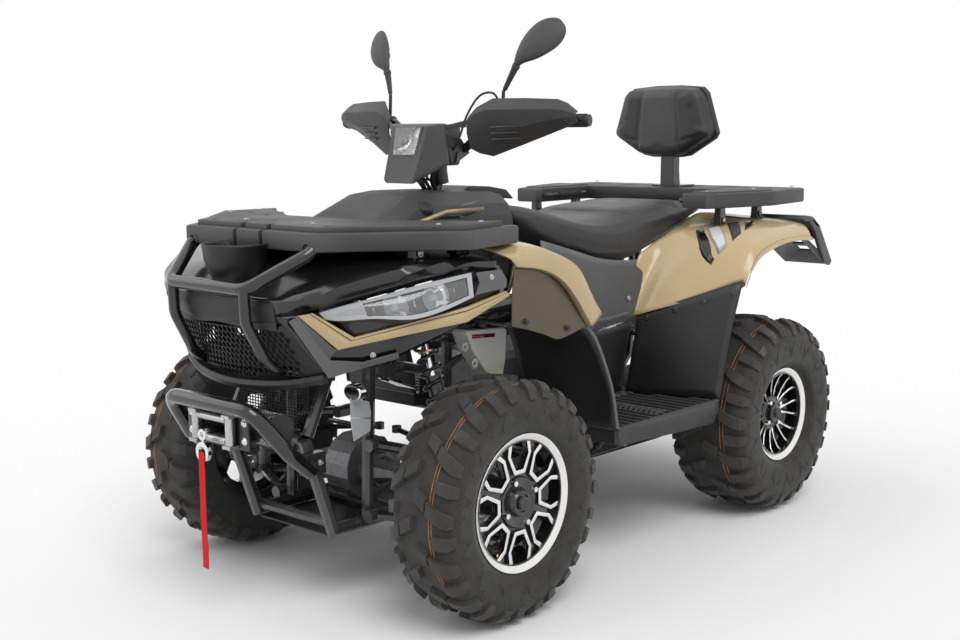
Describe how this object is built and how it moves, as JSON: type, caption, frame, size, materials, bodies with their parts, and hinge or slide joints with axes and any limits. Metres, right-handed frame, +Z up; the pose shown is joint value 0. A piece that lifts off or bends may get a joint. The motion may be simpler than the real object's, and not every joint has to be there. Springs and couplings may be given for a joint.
{
  "type": "quad bike",
  "caption": "Utility quad bike with four lugged tyres, front and rear racks, winch, hand guards, mirrors, seat and passenger backrest.",
  "frame": {"origin": "on the ground under the middle of the bike's bounding box", "axes": "+X ahead, +Y to the rider's left, +Z up"},
  "size_m": [2.2144, 1.194, 1.502],
  "materials": {
    "tyre": "matte",
    "rim": "gloss",
    "cast_grey": "matte",
    "black_steel": "satin",
    "engine_alloy": "satin",
    "skid_alloy": "matte",
    "dark_exhaust": "satin",
    "shock_black": "gloss",
    "winch_black": "satin",
    "bright_steel": "gloss",
    "red_webbing": "matte",
    "gloss_black": "gloss",
    "tan_paint": "gloss",
    "black_plastic": "matte",
    "grey_plastic": "matte",
    "lamp_lens": "gloss",
    "seat_vinyl": "satin",
    "grip_rubber": "matte"
  },
  "bodies": {
    "chassis": {"drive_line": "cast_grey", "frame": "black_steel", "suspension_arms": "black_steel", "bumper_hoop": "black_steel", "winch_guard": "black_steel", "rack_legs": "black_steel", "backrest_post": "black_steel", "engine": "engine_alloy", "skid_plate": "skid_alloy", "exhaust": "dark_exhaust", "shocks": "shock_black", "winch": "winch_black", "fairlead": "bright_steel", "winch_hook": "bright_steel", "winch_strap": "red_webbing", "front_cowl": "gloss_black", "front_fascia": "gloss_black", "front_fenders": "tan_paint", "rear_fenders": "tan_paint", "inner_mudguards": "black_plastic", "rear_flaps": "black_plastic", "front_grille": "black_plastic", "console": "grey_plastic", "centre_covers": "grey_plastic", "footboards": "grey_plastic", "front_rack": "grey_plastic", "rear_rack": "grey_plastic", "tail_covers": "grey_plastic", "headlamps": "lamp_lens", "seat": "seat_vinyl", "backrest_pad": "seat_vinyl"},
    "steering": {"handlebar": "black_steel", "grips": "grip_rubber", "headlamp_pod": "grey_plastic", "hand_guards": "grey_plastic", "mirrors": "grey_plastic"},
    "knuckle_l": {"knuckle_left": "cast_grey"},
    "knuckle_r": {"knuckle_right": "cast_grey"},
    "tie_rod_l": {"tie_rod_left": "black_steel"},
    "tie_rod_r": {"tie_rod_right": "black_steel"},
    "wheel_fl": {"tyre_front_left": "tyre", "rim_front_left": "rim"},
    "wheel_fr": {"tyre_front_right": "tyre", "rim_front_right": "rim"},
    "wheel_rl": {"tyre_rear_left": "tyre", "rim_rear_left": "rim"},
    "wheel_rr": {"tyre_rear_right": "tyre", "rim_rear_right": "rim"}
  },
  "joints": [
    {"name": "steer", "type": "hinge", "parent": "chassis", "child": "steering", "pos_m": [0.48925, 0, 0.52], "axis": [-0.3891, 0, 0.9212], "range_deg": [-38, 38]},
    {"name": "kingpin_l", "type": "hinge", "parent": "chassis", "child": "knuckle_l", "pos_m": [0.58925, 0.42, 0.305], "axis": [0, 0, 1], "range_deg": [-31, 31]},
    {"name": "rod_eye_l", "type": "hinge", "parent": "knuckle_l", "child": "tie_rod_l", "pos_m": [0.47925, 0.398, 0.3283], "axis": [0, 0, 1], "range_deg": [-31, 31]},
    {"name": "wheel_fl_turn", "type": "hinge", "parent": "knuckle_l", "child": "wheel_fl", "pos_m": [0.58925, 0.497, 0.305], "axis": [0, 1, 0], "continuous": true},
    {"name": "wheel_rl_turn", "type": "hinge", "parent": "chassis", "child": "wheel_rl", "pos_m": [-0.70075, 0.453, 0.305], "axis": [0, 1, 0], "continuous": true},
    {"name": "kingpin_r", "type": "hinge", "parent": "chassis", "child": "knuckle_r", "pos_m": [0.58925, -0.42, 0.305], "axis": [0, 0, 1], "range_deg": [-31, 31]},
    {"name": "rod_eye_r", "type": "hinge", "parent": "knuckle_r", "child": "tie_rod_r", "pos_m": [0.47925, -0.398, 0.3283], "axis": [0, 0, 1], "range_deg": [-31, 31]},
    {"name": "wheel_fr_turn", "type": "hinge", "parent": "knuckle_r", "child": "wheel_fr", "pos_m": [0.58925, -0.497, 0.305], "axis": [0, 1, 0], "continuous": true},
    {"name": "wheel_rr_turn", "type": "hinge", "parent": "chassis", "child": "wheel_rr", "pos_m": [-0.70075, -0.453, 0.305], "axis": [0, 1, 0], "continuous": true}
  ],
  "couplings": [
    {"joint": "kingpin_l", "follows": "steer", "ratio": 0.8},
    {"joint": "rod_eye_l", "follows": "steer", "ratio": -0.8},
    {"joint": "kingpin_r", "follows": "steer", "ratio": 0.8},
    {"joint": "rod_eye_r", "follows": "steer", "ratio": -0.8}
  ]
}
